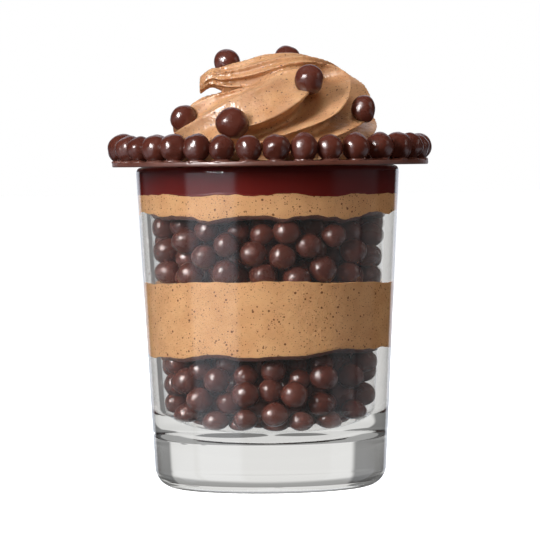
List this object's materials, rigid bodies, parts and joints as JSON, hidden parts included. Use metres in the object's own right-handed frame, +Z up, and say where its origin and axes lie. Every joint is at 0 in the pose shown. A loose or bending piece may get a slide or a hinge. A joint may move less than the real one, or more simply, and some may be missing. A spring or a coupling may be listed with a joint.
{
  "type": "chocolate mousse dessert in a glass",
  "caption": "Layered chocolate mousse served in a small clear tumbler, with crunchy pearl and jelly layers, topped by a chocolate disc, a ring of pearls and a piped swirl.",
  "frame": {"origin": "centre of the glass's foot, on the surface it stands on", "axes": "+Z up along the glass's axis, -Y towards the front, +X to the right seen from the front"},
  "size_m": [0.0614, 0.0614, 0.0843],
  "materials": {
    "clear_glass": "clear polished soda-lime glass",
    "mousse": "soft aerated milk-chocolate mousse with fine dark specks, moist in patches",
    "pearl_chocolate": "satin dark chocolate coating",
    "dark_jelly": "smooth glossy dark red fruit jelly",
    "disc_chocolate": "satin tempered chocolate"
  },
  "bodies": {
    "root": {"glass": "clear_glass", "pearls_lower": "pearl_chocolate", "mousse_lower": "mousse", "pearls_upper": "pearl_chocolate", "mousse_upper": "mousse", "jelly": "dark_jelly", "chocolate_disc": "disc_chocolate", "swirl": "mousse", "ring_pearl_1": "pearl_chocolate", "ring_pearl_2": "pearl_chocolate", "ring_pearl_3": "pearl_chocolate", "ring_pearl_4": "pearl_chocolate", "ring_pearl_5": "pearl_chocolate", "ring_pearl_6": "pearl_chocolate", "ring_pearl_7": "pearl_chocolate", "ring_pearl_8": "pearl_chocolate", "ring_pearl_9": "pearl_chocolate", "ring_pearl_10": "pearl_chocolate", "ring_pearl_11": "pearl_chocolate", "ring_pearl_12": "pearl_chocolate", "ring_pearl_13": "pearl_chocolate", "ring_pearl_14": "pearl_chocolate", "ring_pearl_15": "pearl_chocolate", "ring_pearl_16": "pearl_chocolate", "ring_pearl_17": "pearl_chocolate", "ring_pearl_18": "pearl_chocolate", "ring_pearl_19": "pearl_chocolate", "ring_pearl_20": "pearl_chocolate", "ring_pearl_21": "pearl_chocolate", "ring_pearl_22": "pearl_chocolate", "ring_pearl_23": "pearl_chocolate", "ring_pearl_24": "pearl_chocolate", "ring_pearl_25": "pearl_chocolate", "ring_pearl_26": "pearl_chocolate", "ring_pearl_27": "pearl_chocolate", "ring_pearl_28": "pearl_chocolate", "ring_pearl_29": "pearl_chocolate", "ring_pearl_30": "pearl_chocolate", "ring_pearl_31": "pearl_chocolate", "ring_pearl_32": "pearl_chocolate", "ring_pearl_33": "pearl_chocolate", "ring_pearl_34": "pearl_chocolate", "ring_pearl_35": "pearl_chocolate", "swirl_pearl_1": "pearl_chocolate", "swirl_pearl_2": "pearl_chocolate", "swirl_pearl_3": "pearl_chocolate", "swirl_pearl_4": "pearl_chocolate", "swirl_pearl_5": "pearl_chocolate", "swirl_pearl_6": "pearl_chocolate"}
  },
  "joints": []
}
